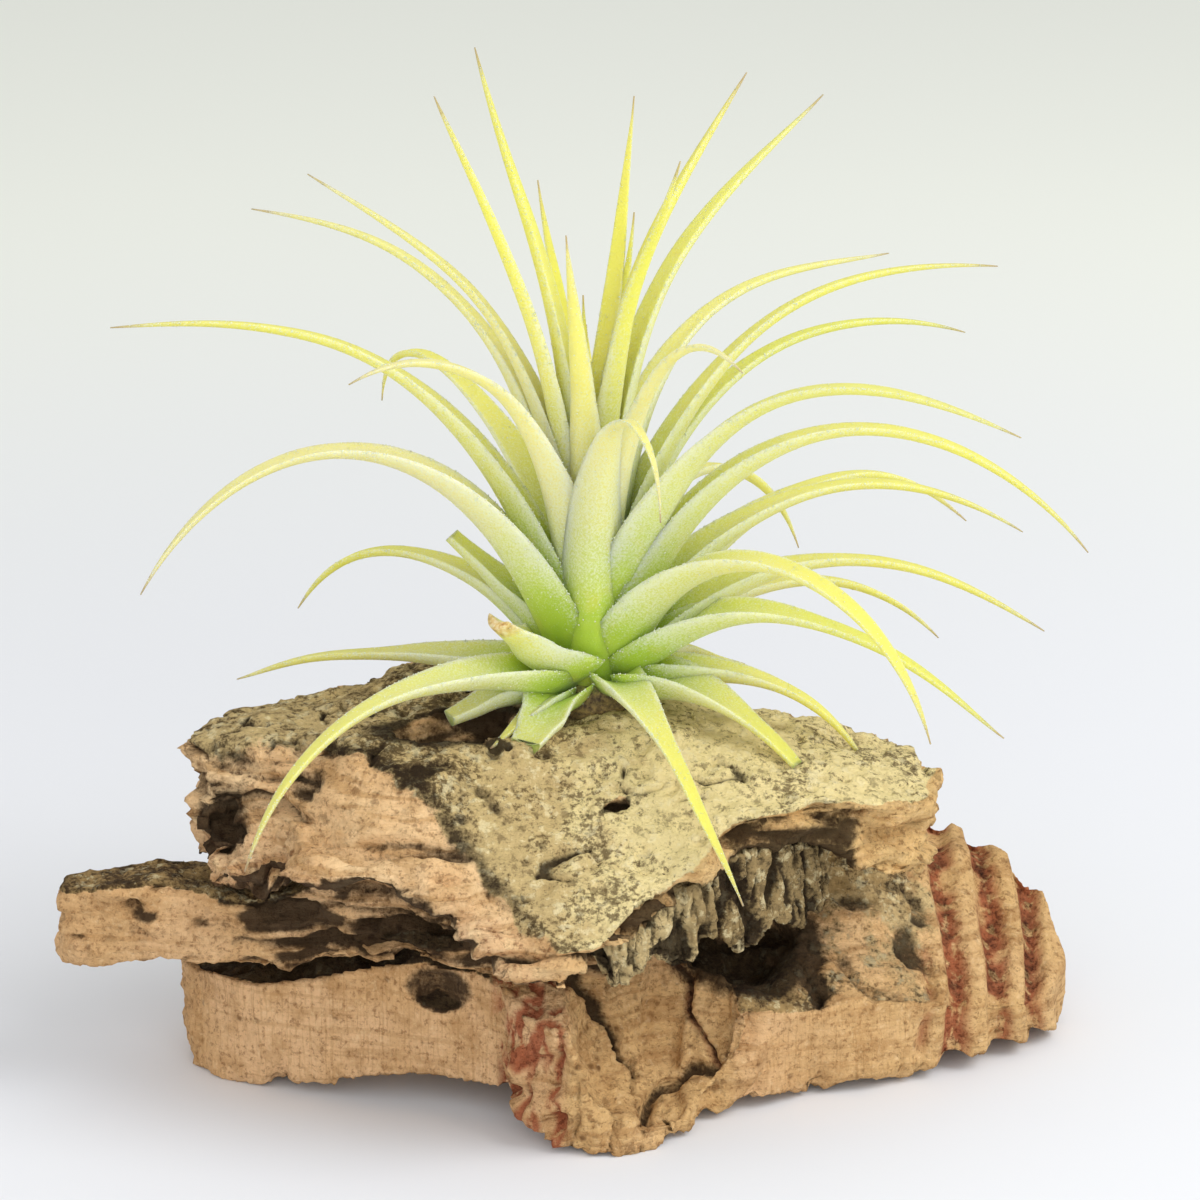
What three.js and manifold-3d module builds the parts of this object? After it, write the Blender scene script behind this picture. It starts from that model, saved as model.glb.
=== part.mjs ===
// An air plant: a rosette of narrow, channelled leaves on a short stem, standing on a stack of four
// pieces of cork bark. Millimetres, +Z up. The viewer's side is -Y, and the leaf azimuths are in
// degrees from +X towards +Y. Nothing moves: the plant rests on the bark and the pieces of bark on
// each other.
import * as THREE from "three";
import { mergeVertices } from "three/addons/utils/BufferGeometryUtils.js";
import Module from "manifold-3d";

const wasm = await Module();
wasm.setup();

// ---- driving dimensions -------------------------------------------------------------------------
const CLEARANCE = 0.3; // gap kept between pieces that touch

const BARK_SEGMENTS = 48; // facets round the rim of a piece of bark
const LOWER_HEIGHT = 20; // lower slab, under the middle of its top
const LOWER_RIGHT_EDGE = 11.5; // top of its cut face on the right, from where its top slopes up
const LOWER_ARCH = 4; // how far its front left edge is lifted off the table
const PLANK_THICKNESS = 7.5; // the plank that sticks out on the left
const PLANK_GAP = 5; // open gap under the plank's free end
const UPPER_TOP = 41; // upper slab, where the plant stands
const UPPER_THICKNESS = 6; // its thin right side
const UPPER_LEFT_EXTRA = 7; // how much thicker its left side is
const BREAK_SLOPE = 1.15; // how steeply its broken front left face falls
const FLAKE_DROP = 12; // how far the furrowed flake hangs below the upper slab

const PLANT_X = -0.8;
const PLANT_Y = 8;
const STEM_HEIGHT = 20;
const STEM_FOOT_RADIUS = 5.6;
const STEM_TIP_RADIUS = 1.1;
const LEAF_STEPS = 10; // facets along a leaf
const LEAF_WIDTH = 1.3; // scale on every leaf's own width
const LEAF_THICKNESS = 2.1; // at the base, along the middle
const LEAF_CHANNEL = 0.42; // how far a leaf's edges stand up, as a share of its half width
const FOOT_CHANNEL = 0.75; // the same at a leaf's foot, where it clasps the stem
const TIP_WIDTH = 0.35;
const TIP_THICKNESS = 0.25;

// ---- materials ----------------------------------------------------------------------------------
const finish = (color, roughness) => new THREE.MeshStandardMaterial({ color, roughness, metalness: 0 });
const CUT_CORK = finish(0xc59a66, 0.9);
const WEATHERED_CORK = finish(0xa89668, 0.95);
const FURROWED_CORK = finish(0x77684e, 0.95);
const LEAF_GREEN = finish(0xc8d672, 0.6);
const STEM_GREEN = finish(0x8fa544, 0.7);

// ---- solids -------------------------------------------------------------------------------------
// The closed solid of a geometry: only positions are kept, so that shared vertices merge.
function solidOf(geometry) {
  geometry.deleteAttribute("normal");
  geometry.deleteAttribute("uv");
  const merged = mergeVertices(geometry, 1e-4);
  return new wasm.Manifold(
    new wasm.Mesh({
      numProp: 3,
      vertProperties: merged.attributes.position.array,
      triVerts: new Uint32Array(merged.index.array),
    }),
  );
}

function meshOf(name, solid, material) {
  const { vertProperties, triVerts } = solid.getMesh();
  const geometry = new THREE.BufferGeometry();
  geometry.setAttribute("position", new THREE.BufferAttribute(vertProperties, 3));
  geometry.setIndex(new THREE.BufferAttribute(triVerts, 1));
  geometry.computeVertexNormals();
  const mesh = new THREE.Mesh(geometry, material);
  mesh.name = name;
  return mesh;
}

// The biggest of the bodies that a cut leaves.
function biggest(solid) {
  return solid.decompose().reduce((best, body) => (body.volume() > best.volume() ? body : best));
}

// Calls move(point) on each vertex of a geometry.
function reshape(geometry, move) {
  const positions = geometry.attributes.position;
  const point = new THREE.Vector3();
  for (let i = 0; i < positions.count; i++) {
    point.fromBufferAttribute(positions, i);
    move(point);
    positions.setXYZ(i, point.x, point.y, point.z);
  }
  return geometry;
}

// 0 below from, 1 above to, and a smooth rise between them.
const rise = (value, from, to) => THREE.MathUtils.smoothstep(value, from, to);

// ---- cork bark ----------------------------------------------------------------------------------
// Uneven height of a weathered face, in the range of about -1 to 1.
const unevenness = (x, y) =>
  0.5 * Math.sin(0.31 * x + 1.3 * Math.sin(0.17 * y)) +
  0.3 * Math.sin(0.55 * y - 0.23 * x + 2) +
  0.2 * Math.sin(0.9 * x + 0.8 * y + 4);

// A piece of bark: a disc turned on a lathe, whose rim is pulled out to the outline and whose faces
// follow the two heights. grow makes it bigger all round, for cutting a neighbour with a clearance.
function barkSolid({ outline, topAt, bottomAt, raggedness }, grow = 0) {
  const rim = new THREE.SplineCurve([...outline, outline[0]].map(([x, y]) => new THREE.Vector2(x, y)));
  const centre = new THREE.Box2().setFromPoints(rim.points).getCenter(new THREE.Vector2());
  const rings = [0, 0.3, 0.6, 0.85, 1];
  const profile = [
    ...rings.map((radius) => new THREE.Vector2(radius, 0)),
    ...[1 / 3, 2 / 3].map((level) => new THREE.Vector2(1, level)),
    ...rings.toReversed().map((radius) => new THREE.Vector2(radius, 1)),
  ];
  const disc = new THREE.LatheGeometry(profile, BARK_SEGMENTS);
  return solidOf(
    reshape(disc, (p) => {
      const radius = Math.hypot(p.x, p.z);
      const level = p.y;
      const turn = (Math.atan2(p.x, p.z) / (2 * Math.PI) + 1) % 1;
      const edge = rim.getPoint(turn).sub(centre);
      const wear = raggedness * Math.sin(2 * Math.PI * (17 * turn + 0.6 * level));
      const pull = radius * (1 + ((wear + grow) * radius * radius) / edge.length());
      const x = centre.x + pull * edge.x;
      const y = centre.y + pull * edge.y;
      const low = bottomAt(x, y) - grow;
      p.set(x, y, THREE.MathUtils.lerp(low, Math.max(topAt(x, y) + grow, low + 1.6), level));
    }),
  );
}

// An oval hollow, turned about Z, for cutting into bark.
function hollow(x, y, z, [rx, ry, rz], turn = 0) {
  const oval = new THREE.SphereGeometry(1, 16, 10);
  oval.scale(rx, ry, rz).rotateZ(THREE.MathUtils.degToRad(turn)).translate(x, y, z);
  return solidOf(oval);
}

// The weathered top of the upper slab, before its front left side was broken away.
const upperCrust = (x, y) => {
  const frontSlope = 0.1 + 0.57 * rise(x, -28, -8) - 0.42 * rise(x, 4, 20);
  const towardsTip = frontSlope * Math.max(0, -1 - y);
  const towardsRight = 0.17 * Math.max(0, x - 4);
  const towardsLeft = 0.12 * Math.max(0, -22 - x);
  const hump = 2.2 * Math.exp(-(((x + 12) / 10) ** 2) - ((y - 20) / 7) ** 2);
  return UPPER_TOP - towardsTip - towardsRight - towardsLeft + hump + 0.6 * unevenness(x, y);
};
const upperTop = (x, y) => {
  const beyondBreak = -0.65 * (x + 34) - 0.76 * y;
  return upperCrust(x, y) - BREAK_SLOPE * Math.max(0, beyondBreak) * rise(-y, 1, 6);
};
const upperBottom = (x, y) => {
  const thinEdge = 3 * rise(-y, 4, 16) * (1 - rise(x, 24, 31));
  const rightLobe = 3 * rise(x, 26, 30);
  const thickness = UPPER_THICKNESS + UPPER_LEFT_EXTRA * rise(-x, 4, 34) + rightLobe - thinEdge;
  return upperCrust(x, y) - thickness + 0.4 * unevenness(y, x);
};
const lowerTop = (x, y) => {
  const left = LOWER_HEIGHT - 0.3 * Math.max(0, -2 - y) - 0.32 * Math.max(0, -20 - x);
  const ramp = LOWER_RIGHT_EDGE + 0.52 * (y + 13 - 0.3 * x) - 0.12 * Math.max(0, x - 32);
  const ribbedEnd = 0.26 * Math.max(0, x - 32);
  const right = Math.min(ramp, LOWER_HEIGHT + 1) - ribbedEnd;
  return THREE.MathUtils.lerp(left, right, rise(x, 8, 20)) + 0.6 * unevenness(x + 9, y);
};
const lowerBottom = (x, y) =>
  LOWER_ARCH * rise(-y, -6, 4) * rise(-x, 4, 10) * rise(x, -46, -16) +
  0.4 * LOWER_ARCH * rise(x, 8, 16) * rise(x - 2 * y, 22, 44);
const plankBottom = (x, y) => {
  const gap = PLANK_GAP * rise(-x, 34, 50) + 0.1 * Math.max(0, -20 - x) + 1.2 * rise(-y, 4, 10);
  return lowerTop(x, y) + gap - 0.8;
};
const plankTop = (x, y) => {
  const bearing = 2 * Math.exp(-(((x + 6) / 9) ** 2) - ((y - 6) / 9) ** 2);
  const freeEnd = plankBottom(x, y) + PLANK_THICKNESS + 1.2 * rise(-x, 36, 48) - 0.35 * Math.max(0, y + 4);
  return THREE.MathUtils.lerp(freeEnd, upperBottom(x, y) - 1.5 + bearing, rise(x, -44, -30));
};

const lowerSlab = {
  outline: [
    [53, 14], [50, 22], [42, 28], [28, 31], [10, 32], [-10, 30], [-30, 25], [-42, 18], [-46.5, 5],
    [-39.5, -4.5], [-24, -9], [-12, -13], [-8, -20], [-1, -23], [6, -21], [13, -14], [22, -8],
    [34, -4], [44, 1], [51, 7],
  ],
  topAt: lowerTop,
  bottomAt: lowerBottom,
  raggedness: 0.5,
};
const middlePlank = {
  outline: [
    [14, 4], [10, 14], [-2, 19], [-20, 18], [-38, 10], [-52, 2], [-59, -1], [-57, -6], [-42, -8],
    [-30, -9], [-18, -12], [-6, -14], [4, -11],
  ],
  topAt: plankTop,
  bottomAt: plankBottom,
  raggedness: 0.6,
};
const upperSlab = {
  outline: [
    [36, 3], [33, 8], [22, 11], [6, 18], [-12, 23], [-27, 16], [-40, 11], [-45, 5], [-43, -4],
    [-40, -12], [-30, -17], [-17, -21], [-4, -26], [5, -21], [14, -14], [23, -10], [32, -8], [36, -3],
  ],
  topAt: upperTop,
  bottomAt: upperBottom,
  raggedness: 0.7,
};
const furrowedFlake = {
  outline: [
    [25, -2], [22, 3], [12, -4], [2, -10], [-3, -16], [2, -20], [10, -16], [19, -10],
  ],
  topAt: (x, y) => upperBottom(x, y) - 0.5,
  bottomAt: (x, y) => upperBottom(x, 0.6 * y) - FLAKE_DROP * (0.85 + 0.15 * Math.sin(0.9 * x)),
  raggedness: 0.4,
};

// ---- the plant ----------------------------------------------------------------------------------
// The stem narrows from its foot to its tip; leaves start on its surface.
const stemRadius = (z) =>
  STEM_TIP_RADIUS + (STEM_FOOT_RADIUS - STEM_TIP_RADIUS) * (1 - z / STEM_HEIGHT) ** 1.2;

function stemSolid(depth, grow = 0) {
  const profile = [new THREE.Vector2(0, -depth), new THREE.Vector2(stemRadius(0) + grow, -depth)];
  for (let z = 0; z <= STEM_HEIGHT; z += STEM_HEIGHT / 5)
    profile.push(new THREE.Vector2(stemRadius(z) + grow, z));
  profile.push(new THREE.Vector2(0, STEM_HEIGHT + grow));
  return solidOf(new THREE.LatheGeometry(profile, 12).rotateX(Math.PI / 2));
}

// Where a direction points: az round from +X, el above the horizontal, in degrees.
function heading(az, el) {
  const [a, e] = [az, el].map(THREE.MathUtils.degToRad);
  return new THREE.Vector3(Math.cos(e) * Math.cos(a), Math.cos(e) * Math.sin(a), Math.sin(e));
}

// Share of the full width at a share of the way along: a sheath at the foot, then a long even taper.
const taper = (along, sheath) =>
  sheath * (1 - rise(along, 0, 0.55)) + (1 - sheath) * (1 - along ** 2.2);

// How far a leaf's edges stand up at a share of the way along, as a share of its half width.
const channelAt = (along) => THREE.MathUtils.lerp(FOOT_CHANNEL, LEAF_CHANNEL, rise(along, 0, 0.5));

// A leaf's section across: a crescent, 1 to each side, with its edges turned up.
function crescent() {
  const across = [-1, -0.4, 0.4, 1, 0.4, -0.4];
  const side = [0, -1, -1, 0, 1, 1];
  return new THREE.Shape(across.map((u, i) => new THREE.Vector2(u, side[i])));
}

// One leaf. It starts on the stem at height root and ends at the given reach from the stem's axis
// and height above the stem's foot. It leaves the stem at the angle rise and ends at the angle fall,
// both above the horizontal, and bow says how long it keeps its first direction. sheath is the part
// of its width that only its foot has. sway turns its root back about the stem, and cut is the share
// of its length that is left where the rest was snipped off.
function leafSolid(leaf, grow = 0) {
  const { az, reach, height, root, rise, fall, width, bow = 0.5, sheath = 0.58, sway = 0, cut = 1 } = leaf;
  const start = heading(az - sway, 0).multiplyScalar(stemRadius(root) - 0.4).setZ(root);
  const end = heading(az, 0).multiplyScalar(reach).setZ(height);
  const chord = start.distanceTo(end);
  const middle = new THREE.CubicBezierCurve3(
    start,
    start.clone().addScaledVector(heading(az - sway, rise), bow * chord),
    end.clone().addScaledVector(heading(az + sway, fall), -0.4 * chord),
    end,
  );
  const blade = new THREE.ExtrudeGeometry(crescent(), { depth: 1, steps: LEAF_STEPS, bevelEnabled: false });
  return solidOf(
    reshape(blade, (p) => {
      const along = p.z;
      const share = taper(along * cut, sheath);
      const halfWidth = Math.max(0.5 * width * LEAF_WIDTH * share, TIP_WIDTH / 2) + grow;
      const halfThickness = Math.max(0.5 * LEAF_THICKNESS * Math.sqrt(share), TIP_THICKNESS / 2) + grow;
      const tangent = middle.getTangent(along);
      const sideways = heading(az - sway + 90 + 2 * sway * along, 0);
      const upper = tangent.clone().cross(sideways).normalize();
      sideways.crossVectors(upper, tangent);
      const lift = channelAt(along * cut) * halfWidth * p.x * p.x;
      const out = p.x * halfWidth;
      const up = p.y * halfThickness + lift;
      p.copy(middle.getPoint(along)).addScaledVector(tangent, (2 * along - 1) * grow);
      p.addScaledVector(sideways, out).addScaledVector(upper, up);
    }),
  );
}

// The leaves, from the middle of the rosette outwards, as they grew in reverse.
const upright = [
  { az: 110, reach: 3, height: 45, root: 18, rise: 89, fall: 88, width: 2.2, sheath: 0.3 },
  { az: 60, reach: 9, height: 53, root: 17, rise: 86, fall: 78, width: 2.4, sheath: 0.3 },
  { az: -40, reach: 12, height: 62, root: 16, rise: 89, fall: 68, width: 3.4, sheath: 0.3 },
  { az: 120, reach: 12, height: 56, root: 16, rise: 86, fall: 72, width: 3, sheath: 0.3 },
  { az: -110, reach: 8, height: 54, root: 14, rise: 86, fall: 80, width: 4, sheath: 0.3 },
  { az: 70, reach: 13, height: 65, root: 15, rise: 90, fall: 80, width: 3.2, sheath: 0.3 },
  { az: 165, reach: 13, height: 72, root: 14, rise: 90, fall: 74, width: 3.6, sheath: 0.3 },
  { az: 15, reach: 17, height: 69, root: 13, rise: 92, fall: 56, width: 3.6, sheath: 0.3 },
  { az: 92, reach: 18, height: 38, root: 13, rise: 82, fall: 40, width: 3.2, sheath: 0.3 },
  { az: 190, reach: 17, height: 68, root: 12, rise: 88, fall: 67, width: 3.4, sheath: 0.3 },
  { az: 35, reach: 31, height: 64, root: 12, rise: 88, fall: 36, bow: 0.6, width: 3.6, sheath: 0.35 },
];
const arching = [
  { az: -55, reach: 27, height: 43, root: 12, rise: 84, fall: -26, bow: 0.42, width: 4.6 },
  { az: 172, reach: 31, height: 58, root: 11, rise: 86, fall: 30, bow: 0.56, width: 4.6 },
  { az: 45, reach: 48, height: 42, root: 11, rise: 84, fall: -4, bow: 0.66, width: 4.2 },
  { az: 160, reach: 40, height: 52, root: 11, rise: 82, fall: 2, bow: 0.56, width: 4.2 },
  { az: 10, reach: 45, height: 47, root: 10, rise: 80, fall: -8, width: 4.8 },
  { az: 212, reach: 30, height: 40, root: 8, rise: 90, fall: -20, bow: 0.56, width: 6.4 },
  { az: 90, reach: 46, height: 6, root: 9, rise: 66, fall: -62, width: 5 },
  { az: 30, reach: 49, height: 35, root: 9, rise: 80, fall: -22, bow: 0.54, width: 4.6 },
  { az: 130, reach: 38, height: 26, root: 8, rise: 74, fall: -84, bow: 0.56, width: 5 },
  { az: 180, reach: 52, height: 42, root: 8, rise: 72, fall: -4, bow: 0.58, width: 5.4 },
  { az: -70, reach: 21, height: 26, root: 3, rise: 90, fall: -84, bow: 1.5, sway: 22, width: 6.6, sheath: 0.78 },
  { az: -24, reach: 49, height: 35.5, root: 7, rise: 78, fall: -20, bow: 0.6, width: 6.8 },
  { az: 58, reach: 46, height: 5, root: 7, rise: 70, fall: -62, bow: 0.56, width: 4.8 },
  { az: 103, reach: 46, height: 4, root: 6, rise: 58, fall: -58, width: 5 },
  { az: -8, reach: 54, height: 19, root: 6, rise: 73, fall: -54, bow: 0.68, width: 5.8 },
  { az: 195, reach: 50, height: 16, root: 5, rise: 71, fall: -62, bow: 0.79, width: 7 },
  { az: 15, reach: 50, height: 15, root: 5, rise: 58, fall: -36, width: 5.2 },
  { az: 78, reach: 44, height: 5, root: 5, rise: 54, fall: -55, width: 5 },
  { az: 35, reach: 53, height: 11, root: 4, rise: 45, fall: -44, width: 4.8 },
  { az: 150, reach: 39, height: 4, root: 3, rise: 48, fall: -60, width: 4.6 },
  { az: -40, reach: 46, height: 5, root: 4, rise: 70, fall: -70, bow: 0.6, width: 8 },
  { az: 2, reach: 50, height: 7, root: 3, rise: 48, fall: -36, width: 5.4 },
  { az: 30, reach: 46, height: -1, root: 2, rise: 38, fall: -48, bow: 0.42, width: 4.8 },
  { az: -20, reach: 47, height: 1, root: 3, rise: 46, fall: -34, width: 6 },
];
const lower = [
  { az: 100, reach: 38, height: -3, root: 2, rise: 30, fall: -34, width: 5 },
  { az: 72, reach: 34, height: -4, root: 2, rise: 26, fall: -36, width: 5 },
  { az: 168, reach: 41, height: -1, root: 2, rise: 6, fall: -22, width: 5 },
  { az: 44, reach: 24, height: -2, root: 2, rise: 10, fall: -22, width: 5 },
  { az: 217, reach: 46, height: -10, root: 2, rise: 20, fall: -66, width: 5.2 },
  { az: -8, reach: 31, height: -7, root: 2, rise: 12, fall: -56, width: 5 },
  { az: -64, reach: 36, height: -12, root: 2.5, rise: 16, fall: -36, bow: 0.25, width: 4.4 },
];
const snipped = [
  { az: 163, reach: 16.5, height: 17, root: 4, rise: 58, fall: 44, width: 4.8, cut: 0.45 },
  { az: 215, reach: 13, height: 11, root: 3, rise: 30, fall: 40, width: 8.8, cut: 0.5 },
  { az: -28, reach: 25, height: -4, root: 1.5, rise: 10, fall: -38, width: 6.2, cut: 0.72 },
  { az: 203, reach: 17, height: -0.5, root: 1.2, rise: 6, fall: -14, width: 4.4, cut: 0.4 },
  { az: 226, reach: 16, height: -2, root: 1, rise: 2, fall: -14, width: 3.6 },
  { az: 238, reach: 13.5, height: -2, root: 1, rise: 0, fall: -14, width: 5.2, cut: 0.35 },
];

// ---- assembly -----------------------------------------------------------------------------------
const bark = new THREE.Group();
const barkCutters = [];
function addBark(name, slab, material, ...hollows) {
  const whole = hollows.reduce((solid, cut) => solid.subtract(cut), barkSolid(slab));
  bark.add(meshOf(name, biggest(barkCutters.reduce((solid, cut) => solid.subtract(cut), whole)), material));
  barkCutters.push(barkSolid(slab, CLEARANCE));
}
addBark("cork_lower_slab", lowerSlab, CUT_CORK, hollow(7, -19, 17.5, [11, 15, 15], 0));
addBark("cork_middle_plank", middlePlank, CUT_CORK, hollow(-26, -15, 23, [8, 4, 3], -20));
addBark("cork_furrowed_flake", furrowedFlake, FURROWED_CORK);
addBark(
  "cork_upper_slab",
  upperSlab,
  WEATHERED_CORK,
  hollow(-15, 1, UPPER_TOP - 0.5, [8, 4, 4.5], 12),
  hollow(-36, -9, 33, [3.5, 6, 3], 20),
);

const plant = new THREE.Group();
plant.position.set(PLANT_X, PLANT_Y, upperTop(PLANT_X, PLANT_Y) + CLEARANCE);
const taken = barkCutters.map((cut) => cut.translate(...plant.position.toArray().map((v) => -v)));
function addToPlant(name, solid, cutter, material) {
  plant.add(meshOf(name, biggest(taken.reduce((left, cut) => left.subtract(cut), solid)), material));
  taken.push(cutter);
}
addToPlant("stem", stemSolid(2), stemSolid(2, CLEARANCE), STEM_GREEN);
for (const [kind, leaves] of Object.entries({ upright, arching, lower, snipped }))
  leaves.forEach((leaf, i) => {
    const name = `${kind}_leaf_${String(i + 1).padStart(2, "0")}`;
    addToPlant(name, leafSolid(leaf), leafSolid(leaf, CLEARANCE), LEAF_GREEN);
  });

// The origin is on the table, under the middle of the whole object.
const arrangement = new THREE.Group().add(bark, plant);
const extent = new THREE.Box3().setFromObject(arrangement, true);
const middle = extent.getCenter(new THREE.Vector3());
arrangement.position.set(-middle.x, -middle.y, -extent.min.z);

const airPlant = new THREE.Group().add(arrangement);
export default airPlant;
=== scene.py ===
"""An air plant standing on a stack of cork bark.

Lengths are in millimetres, which MM turns into metres, and angles in degrees. Lights are placed in
metres. Places are given from the point under the plant's stem, with +Z up and the viewer at -Y.
"""

import math
import random

import bmesh
import bpy
import numpy as np
from mathutils import Matrix, Vector, noise


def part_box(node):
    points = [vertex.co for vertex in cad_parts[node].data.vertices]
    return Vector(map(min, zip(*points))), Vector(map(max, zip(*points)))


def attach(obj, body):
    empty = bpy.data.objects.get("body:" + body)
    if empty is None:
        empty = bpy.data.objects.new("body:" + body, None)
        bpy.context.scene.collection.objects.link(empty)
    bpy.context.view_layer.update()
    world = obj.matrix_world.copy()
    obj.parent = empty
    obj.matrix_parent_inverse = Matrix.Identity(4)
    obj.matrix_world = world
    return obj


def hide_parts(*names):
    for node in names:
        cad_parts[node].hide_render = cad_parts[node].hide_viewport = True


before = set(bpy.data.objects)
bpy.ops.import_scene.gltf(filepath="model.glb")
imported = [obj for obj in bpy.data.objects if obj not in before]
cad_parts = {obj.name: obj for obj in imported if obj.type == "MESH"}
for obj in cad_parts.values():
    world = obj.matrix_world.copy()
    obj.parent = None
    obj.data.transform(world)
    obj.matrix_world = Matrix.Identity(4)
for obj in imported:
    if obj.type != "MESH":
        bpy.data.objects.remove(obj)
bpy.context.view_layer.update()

# ---- sizes -------------------------------------------------------------------------------------
MM = 0.001

STEM_HEIGHT = 20
STEM_FOOT_RADIUS = 5.6
STEM_TIP_RADIUS = 1.1

LEAF_WIDTH = 1.3  # scale on every leaf's own width
LEAF_THICKNESS = 2.1  # at the foot, along the middle
LEAF_CHANNEL = 0.42  # how far a leaf's margins stand up, as a share of its half width
FOOT_CHANNEL = 0.75  # the same at a leaf's foot, where it clasps the stem
TIP_WIDTH = 0.18
TIP_THICKNESS = 0.14
LEAF_STATIONS = 44
LEAF_FACETS = 18

SCALE_RADIUS = 0.13  # of one of the silvery scales on a leaf
SCALE_HEIGHT = 0.07
SCALES_PER_MM = 9  # along a leaf

BARK_VOXEL = 0.46
FLAKE_VOXEL = 0.32

SMOOTHING_ROUNDS = 2  # over a voxel mesh
MARKS = ("crust", "cut", "shade", "rust", "bleach")  # what carving tells the cork's material; shade is painted shade over some real char

VIEW_ELEVATION = 18.0
VIEW_DISTANCE = 495.0
VIEW_AIM = (0.8, 0.0, 52.8)
LENS_MM = 135.0

# ---- places ------------------------------------------------------------------------------------
stem_low, stem_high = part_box("stem")
STEM_X = (stem_low.x + stem_high.x) / 2 / MM
STEM_Y = (stem_low.y + stem_high.y) / 2 / MM
STEM_FOOT = stem_high.z / MM - STEM_HEIGHT


def at(x, y, z):
    """A point given from under the stem, in the row frame in metres."""
    return Vector((STEM_X + x, STEM_Y + y, z)) * MM


# ---- leaves, from the middle of the rosette outwards -------------------------------------------
# azimuth, reach, height, root, rise, fall, width, then what differs from the usual
LEAVES = {
    "upright": [
        (110, 3, 45, 18, 89, 88, 2.2, {"sheath": 0.3}),
        (60, 9, 53, 17, 86, 78, 2.4, {"sheath": 0.3}),
        (-40, 12, 62, 16, 89, 68, 3.4, {"sheath": 0.3}),
        (120, 12, 56, 16, 86, 72, 3, {"sheath": 0.3}),
        (-110, 8, 54, 14, 86, 80, 4, {"sheath": 0.3, "cream": 0.3}),
        (70, 13, 65, 15, 90, 80, 3.2, {"sheath": 0.3}),
        (165, 13, 72, 14, 90, 74, 3.6, {"sheath": 0.3}),
        (15, 17, 69, 13, 92, 56, 3.6, {"sheath": 0.3}),
        (92, 18, 38, 13, 82, 40, 3.2, {"sheath": 0.3}),
        (190, 17, 68, 12, 88, 67, 3.4, {"sheath": 0.3}),
        (35, 31, 64, 12, 88, 36, 3.6, {"bow": 0.6, "sheath": 0.35, "cream": 0.3}),
    ],
    "arching": [
        (-55, 27, 43, 12, 84, -26, 4.6, {"bow": 0.42, "cream": 0.8}),
        (172, 31, 58, 11, 86, 30, 4.6, {"bow": 0.56, "cream": 0.5}),
        (45, 48, 42, 11, 84, -4, 4.2, {"bow": 0.66, "cream": 0.3}),
        (160, 40, 52, 11, 82, 2, 4.2, {"bow": 0.56, "cream": 0.5}),
        (10, 45, 47, 10, 80, -8, 4.8, {}),
        (212, 30, 40, 8, 90, -20, 6.4, {"bow": 0.56, "cream": 0.7}),
        (90, 46, 6, 9, 66, -62, 5, {}),
        (30, 49, 35, 9, 80, -22, 4.6, {"bow": 0.54}),
        (130, 38, 26, 8, 74, -84, 5, {"bow": 0.56}),
        (180, 52, 42, 8, 72, -4, 5.4, {"bow": 0.58}),
        (-70, 21, 26, 3, 90, -84, 5.8, {"bow": 1.5, "sheath": 0.78, "sway": 22, "cream": 0.5}),
        (-24, 49, 35.5, 7, 78, -20, 6.8, {"bow": 0.6, "cream": 0.3}),
        (58, 46, 5, 7, 70, -62, 4.8, {"bow": 0.56}),
        (103, 46, 4, 6, 58, -58, 5, {}),
        (-8, 54, 19, 6, 73, -54, 5.8, {"bow": 0.68}),
        (195, 50, 16, 5, 71, -62, 7, {"bow": 0.79, "cream": 0.8}),
        (15, 50, 15, 5, 58, -36, 5.2, {}),
        (78, 44, 5, 5, 54, -55, 5, {}),
        (35, 53, 11, 4, 45, -44, 4.8, {}),
        (150, 39, 4, 3, 48, -60, 4.6, {}),
        (-40, 46, 5, 4, 70, -70, 6.8, {"bow": 0.6, "sway": -10}),
        (2, 50, 7, 3, 48, -36, 5.4, {}),
        (30, 46, -1, 2, 38, -48, 4.8, {"bow": 0.42}),
        (-20, 47, 1, 3, 46, -34, 6, {}),
    ],
    "lower": [
        (100, 38, -3, 2, 30, -34, 5, {}),
        (72, 34, -4, 2, 26, -36, 5, {}),
        (168, 41, -1, 2, 6, -22, 5, {"cream": 0.3}),
        (44, 24, -2, 2, 10, -22, 5, {}),
        (217, 46, -10, 2, 20, -66, 5.2, {"cream": 0.2}),
        (-8, 31, -7, 2, 12, -56, 5, {}),
        (-64, 36, -12, 2.5, 16, -36, 4.4, {"bow": 0.25}),
    ],
    "snipped": [
        (163, 16.5, 17, 4, 58, 44, 4.8, {"cut": 0.45}),
        (215, 13, 11, 3, 30, 40, 8.8, {"cut": 0.5, "dry": 1.0}),
        (-28, 25, -4, 1.5, 10, -38, 6.2, {"cut": 0.72}),
        (203, 17, -0.5, 1.2, 6, -14, 4.4, {"cut": 0.4}),
        (226, 16, -2, 1, 2, -14, 3.6, {}),
        (238, 13.5, -2, 1, 0, -14, 5.2, {"cut": 0.35}),
    ],
}

# ---- colours, as they look on screen -----------------------------------------------------------
def colour(code):
    """The linear colour of a web code."""
    shares = [int(code[i : i + 2], 16) / 255 for i in (1, 3, 5)]
    linear = [s / 12.92 if s <= 0.04045 else ((s + 0.055) / 1.055) ** 2.4 for s in shares]
    return (*linear, 1.0)


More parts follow.
